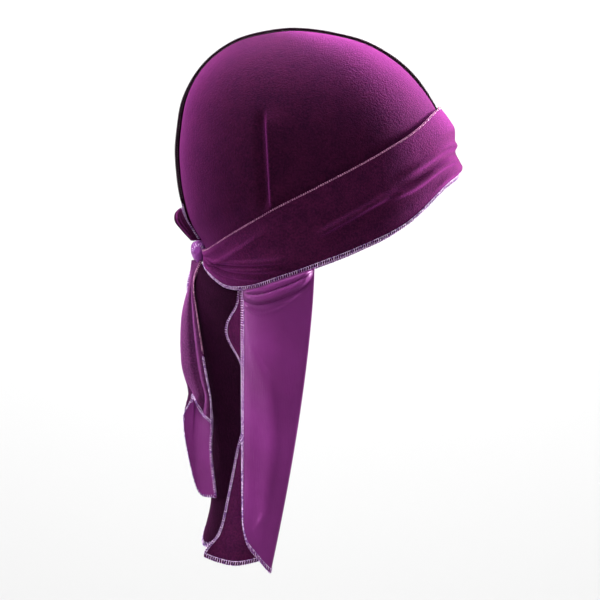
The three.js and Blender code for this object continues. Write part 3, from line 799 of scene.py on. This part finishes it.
bow_loop = cloth("bow_loop_velvet", loop_grid(), CLOTH, lit_tie_velvet, plum_tricot, plum_tricot)
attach(bow_loop, "root")
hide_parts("bow_loop")
loop_stitches = overlock("bow_loop_stitches", loop_grid(), "last", lilac_thread, reach=1.0)

# The tie end that hangs behind: the strap folded along its length with the velvet outside, its
# near layer cut off on a slant, so that the far layer shows its knitted back below it.
BACK_END_LENGTH = 169
BACK_END_ROWS = 120
BACK_END_COLUMNS = 75
BELLY_FULL = 0.2
BACK_END_LILAC_FROM = 0.6

# How far the near edge, the fold and the far edge hang from the knot, by the way down, in shares
# of the head's length and width
BACK_END = {
    "down": [0, 0.1, 0.24, 0.42, 0.5, 0.575, 0.66, 0.8, 0.9, 1],
    "nearX": [0.02, -0.008, 0.008, 0.033, 0.045, 0.057, 0.062, 0.062, 0.06, 0.06],
    "nearY": [-0.05, -0.115, -0.18, -0.225, -0.235, -0.24, -0.24, -0.23, -0.23, -0.23],
    "foldX": [-0.016, -0.024, -0.05, -0.051, -0.037, -0.012, -0.05, -0.056, -0.05, -0.05],
    "foldY": [-0.02, -0.09, -0.13, -0.16, -0.17, -0.18, -0.165, -0.155, -0.15, -0.15],
    "farX": [-0.008, -0.03, -0.016, 0.012, 0.028, 0.046, 0.062, 0.058, 0.066, 0.076],
    "farY": [-0.01, -0.09, -0.15, -0.195, -0.205, -0.215, -0.215, -0.2, -0.19, -0.18],
}

# The lines down the tie end, from its near edge over the fold to its far edge
BACK_END_LINES = [
    {"layer": "near", "from_fold": 1, "belly": 0, "end": 0.69},
    {"layer": "near", "from_fold": 0.82, "belly": -0.012, "end": 0.665},
    {"layer": "near", "from_fold": 0.68, "belly": 0.008, "end": 0.65},
    {"layer": "near", "from_fold": 0.42, "belly": -0.018, "end": 0.615},
    {"layer": "near", "from_fold": 0.1, "belly": -0.006, "end": 0.575},
    {"layer": "far", "from_fold": 0.03, "belly": 0.008, "end": 0.595},
    {"layer": "far", "from_fold": 0.1, "belly": 0.014, "end": 0.7},
    {"layer": "far", "from_fold": 0.45, "belly": 0.03, "end": 0.965},
    {"layer": "far", "from_fold": 1, "belly": 0, "end": 1},
]


def back_end_grid():
    top = knot_centre[2] - KNOT_HEIGHT / 2 + CLOTH
    last = len(BACK_END_LINES) - 1
    rows = []
    for share in np.linspace(0, 1, BACK_END_ROWS + 1):
        section = {"line": list(range(last + 1)), "x": [], "y": [], "z": []}
        for line in BACK_END_LINES:
            down = share * line["end"]
            fold = [along(BACK_END, "down", "fold" + axis, down) for axis in "XY"]
            edge = [along(BACK_END, "down", line["layer"] + axis, down) for axis in "XY"]
            out_x, out_y = (mix(a, b, line["from_fold"]) for a, b in zip(fold, edge))
            belly = line["belly"] * smooth(0, BELLY_FULL, down)
            section["x"].append(knot_centre[0] + HEAD_LENGTH * out_x)
            section["y"].append(HEAD_WIDTH * (out_y + belly))
            section["z"].append(top - BACK_END_LENGTH * down)
        places = np.linspace(0, last, BACK_END_COLUMNS + 1)
        rows.append(np.stack([along(section, "line", axis, places) for axis in "xyz"], -1))
    return np.array(rows)


# A brighter, smoother copy of the crown's velvet for the hanging tie end: painted light on its near
# layer.
lit_hanging_velvet = velvet(
    "lit_hanging_velvet", deep=(0.016, 0.0025, 0.012), pile=(0.065, 0.009, 0.048),
    sheen_tint=(0.4, 0.1, 0.38),
)
slant_grid = back_end_grid()
back_end = cloth("back_tie_end", slant_grid, CLOTH, lit_hanging_velvet, plum_tricot, plum_tricot)
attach(back_end, "root")
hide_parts("tie_end_back")
back_end_stitches = [
    overlock(
        "back_tie_end_near_stitches", slant_grid, "first", plum_thread, reach=0.8,
        end=BACK_END_LILAC_FROM,
    ),
    overlock(
        "back_tie_end_corner_stitches", slant_grid, "first", lilac_thread, reach=1.4,
        start=BACK_END_LILAC_FROM,
    ),
    overlock("back_tie_end_far_stitches", slant_grid, "last", lilac_thread, reach=1.4),
    overlock("back_tie_end_cut_stitches", slant_grid, "bottom", lilac_thread, reach=1.6),
]

# The tie end that hangs in front: it comes out from under the band between the cape and its
# turned-out side, and its overlocked edge waves as it falls.
FRONT_END_LENGTH = 198
FRONT_END_COLUMNS = 60
FRONT_END_ROWS = 130
TUCK = 8
TUCK_ROWS = 8
ROW_CROWDING = 1.4

# How far the rear and front edges swing out, by the way down, in shares of the head's length and
# width, and where each line across the tie end leaves the band and how far down it ends
FRONT_END = {
    "down": [0, 0.065, 0.13, 0.18, 0.28, 0.42, 0.57, 0.77, 0.91, 0.975, 1],
    "rearX": [0, -0.009, -0.043, -0.044, 0.006, 0.044, 0, -0.04, -0.074, -0.122, -0.127],
    "rearY": [0, -0.01, 0.012, 0.014, 0, 0.005, 0.04, 0.08, 0.1, 0.115, 0.12],
    "foreX": [0, 0, 0, 0, 0, 0, -0.005, -0.02, -0.035, -0.045, -0.05],
    "foreY": [0, 0.02, 0.037, 0.045, 0.06, 0.08, 0.107, 0.14, 0.16, 0.175, 0.18],
}
FRONT_END_TO = {
    "across": [0, 0.25, 0.6, 1],
    "round": [-133, -127, -116, -104],
    "drop": [0.965, 0.98, 1, 1],
}


def tucked(round, top, lift, rows, way):
    """Cloth tucked up under the band and hanging below it, its rows closer near the band."""
    foot = band_bottom(round)
    seat = on_head(round, foot, lift)
    up = np.linspace(1, 0, TUCK_ROWS + 1)
    down = np.linspace(0, 1, rows + 1)[1:] ** ROW_CROWDING
    above = [on_head(round, mix(foot, top, share), lift) for share in up]
    return np.array(above + [seat + way(share) for share in down])


def front_end_grid():
    across = np.linspace(1, 0, FRONT_END_COLUMNS + 1)
    round = along(FRONT_END_TO, "across", "round", across)
    length = FRONT_END_LENGTH * along(FRONT_END_TO, "across", "drop", across)
    lift = np.full(across.shape, LAYER + CLOTH / 2)

    def way(down):
        rear = [along(FRONT_END, "down", "rear" + axis, down) for axis in "XY"]
        fore = [along(FRONT_END, "down", "fore" + axis, down) for axis in "XY"]
        x, y = (mix(a, b, across) for a, b in zip(rear, fore))
        return np.stack([HEAD_LENGTH * x, HEAD_WIDTH * y, -length * down], -1)

    return tucked(round, band_bottom(round) - TUCK, lift, FRONT_END_ROWS, way)


waving_grid = front_end_grid()
front_end = cloth("front_tie_end", waving_grid, CLOTH, lit_tie_velvet, plum_tricot, plum_tricot)
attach(front_end, "root")
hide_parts("tie_end_front")
front_end_stitches = [
    overlock("front_tie_end_rear_stitches", waving_grid, "last", lilac_thread, reach=1.5),
    overlock("front_tie_end_hem_stitches", waving_grid, "bottom", lilac_thread),
]

# The cape: the crown's own cloth going on below the nape, its velvet a darker copy of the crown's
# as painted shade. Its right side is folded outwards and back over itself, so that the knitted
# back shows as a broad smooth lapel with an overlocked edge.
CAPE_LENGTH = 215
CAPE_COLUMNS = 240
CAPE_ROWS = 190
CAPE_SWEEP = 1.5
CAPE_DRAW_IN = 0.7
TURN_SHARE = 0.3
LAPEL_LIFT = 2 * LAYER + CLOTH / 2

# The lines down the cape, from the lapel's edge round its fold and past the nape to the far side:
# where each leaves the band, how far it is turned out, where it ends, its drop and its wave
CAPE = {
    "line": list(range(13)),
    "round": [-129, -118, -105, -89, -82, -90, -105, -128, -152, -180, -208, -232, -246],
    "out": [1, 1, 1, 1, 0.8, 0, 0, 0, 0, 0, 0, 0, 0],
    "endX": [-0.204, -0.187, -0.153, -0.12, -0.107, -0.122, -0.19, -0.29, -0.349, -0.33, -0.265,
             -0.2, -0.15],
    "endY": [-0.333, -0.34, -0.34, -0.335, -0.315, -0.25, -0.21, -0.165, -0.09, 0.02, 0.13, 0.2,
             0.2],
    "drop": [0.765, 0.841, 0.904, 0.972, 1, 0.97, 0.89, 0.85, 0.885, 0.9, 0.87, 0.83, 0.78],
    "wave": [0, 0, 0, 0, 0, 0, 0, 0.4, 1, 1, 0.5, 0, 0],
}

# How far the nape's side of the cape swings forward on its way down
WAVE = {
    "down": [0, 0.02, 0.05, 0.1, 0.25, 0.45, 0.66, 0.8, 0.89, 1],
    "forward": [0, -0.04, -0.056, -0.068, -0.055, -0.026, 0.004, 0.016, 0.018, 0],
}

# The lapel's relief: folds and a puff that sag across it under the band, one low crease, and a
# long soft ridge, by where it runs and how high it stands
LAPEL_FOLDS = [
    {"down": 0.012, "sag": 0.022, "width": 0.005, "height": -1.4},
    {"down": 0.046, "sag": 0.062, "width": 0.009, "height": 1.0},
]
LAPEL_PUFF = {"start": 0.014, "down": 0.03, "sag": 0.038, "fall": 0.01, "height": 6.4}
LOW_CREASE = {"line": 2.2, "lean": 9, "width": 0.22, "down": 0.85, "length": 0.05, "height": 1.1}
LAPEL_MIDDLE = 1.8
LAPEL_SHOWN = {"from": -1.02, "full": -0.7, "fade": 0.7, "to": 1.1}
RIDGE_REAR = 0.55
RIDGE_FRONT = 0.28
LAPEL_RIDGE = {
    "down": [0, 0.18, 0.26, 0.34, 0.41, 0.6, 0.72, 0.9, 1],
    "line": [0, 0.5, 0.95, 1.7, 2.05, 2.4, 2.35, 2.2, 2.1],
    "high": [0, 0, 0.6, 1.5, 2.2, 2.4, 2.2, 0.8, 0],
}


def lapel_lift(line, down):
    """The relief of the turned-out side: a long soft ridge, sagging folds and a low crease."""
    aside = (line - LAPEL_MIDDLE) / LAPEL_MIDDLE
    shown = smooth(LAPEL_SHOWN["from"], LAPEL_SHOWN["full"], aside)
    shown = shown * (1 - smooth(LAPEL_SHOWN["fade"], LAPEL_SHOWN["to"], aside))
    off = line - along(LAPEL_RIDGE, "down", "line", down)
    ridge = bump_at(off, 0, np.where(off < 0, RIDGE_REAR, RIDGE_FRONT))
    lift = along(LAPEL_RIDGE, "down", "high", down) * ridge
    under = LAPEL_PUFF["down"] + LAPEL_PUFF["sag"] * (1 - aside**2)
    puffed = 1 - smooth(under - LAPEL_PUFF["fall"], under + LAPEL_PUFF["fall"], down)
    puffed = puffed * smooth(0, LAPEL_PUFF["start"], down)
    lift = lift + LAPEL_PUFF["height"] * puffed * shown
    for fold in LAPEL_FOLDS:
        sagging = fold["down"] + fold["sag"] * (1 - aside**2)
        lift = lift + fold["height"] * bump_at(down, sagging, fold["width"]) * shown
    leaning = LOW_CREASE["line"] - LOW_CREASE["lean"] * (down - LOW_CREASE["down"])
    crease = bump_at(line, leaning, LOW_CREASE["width"])
    crease = crease * bump_at(down, LOW_CREASE["down"], LOW_CREASE["length"])
    return lift + LOW_CREASE["height"] * crease * shown


def cape_grid():
    line = np.linspace(0, CAPE["line"][-1], CAPE_COLUMNS + 1)
    row = {column: along(CAPE, "line", column, line) for column in CAPE}
    round = np.where(row["round"] < -180, row["round"] + 360, row["round"])
    lift = mix(CLOTH / 2, LAPEL_LIFT, row["out"])
    foot = on_head(round, band_bottom(round), lift)
    end_x = HEAD_LENGTH * row["endX"] - foot[:, 0]
    end_y = HEAD_WIDTH * row["endY"] - foot[:, 1]
    turned = smooth(0, TURN_SHARE, row["out"])
    top = mix(crown_hem(round) + SEAT, band_bottom(round) - TUCK, turned)
    draw = mix(CAPE_DRAW_IN, CAPE_SWEEP, row["out"])

    def way(down):
        wave = HEAD_LENGTH * row["wave"] * along(WAVE, "down", "forward", down)
        x = end_x * down**CAPE_SWEEP + wave
        y = end_y * down**draw - lapel_lift(line, down)
        return np.stack([x, y, -CAPE_LENGTH * row["drop"] * down], -1)

    return tucked(round, top, lift, CAPE_ROWS, way)


# A darker copy of the crown's velvet: painted shade over the cape.
shaded_cape_velvet = velvet(
    "shaded_cape_velvet", deep=(0.0015, 0.0004, 0.0008), pile=(0.009, 0.0011, 0.005),
    sheen_tint=(0.07, 0.009, 0.055),
)
drape_grid = cape_grid()
cape = cloth("cape_cloth", drape_grid, CLOTH, shaded_cape_velvet, plum_tricot, plum_tricot)
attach(cape, "root")
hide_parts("cape")
cape_stitches = [
    overlock("cape_lapel_stitches", drape_grid, "first", lilac_thread, face=-1),
    overlock("cape_free_edge_stitches", drape_grid, "last", lilac_thread),
    overlock("cape_hem_stitches", drape_grid, "bottom", lilac_thread, face=-1),
]
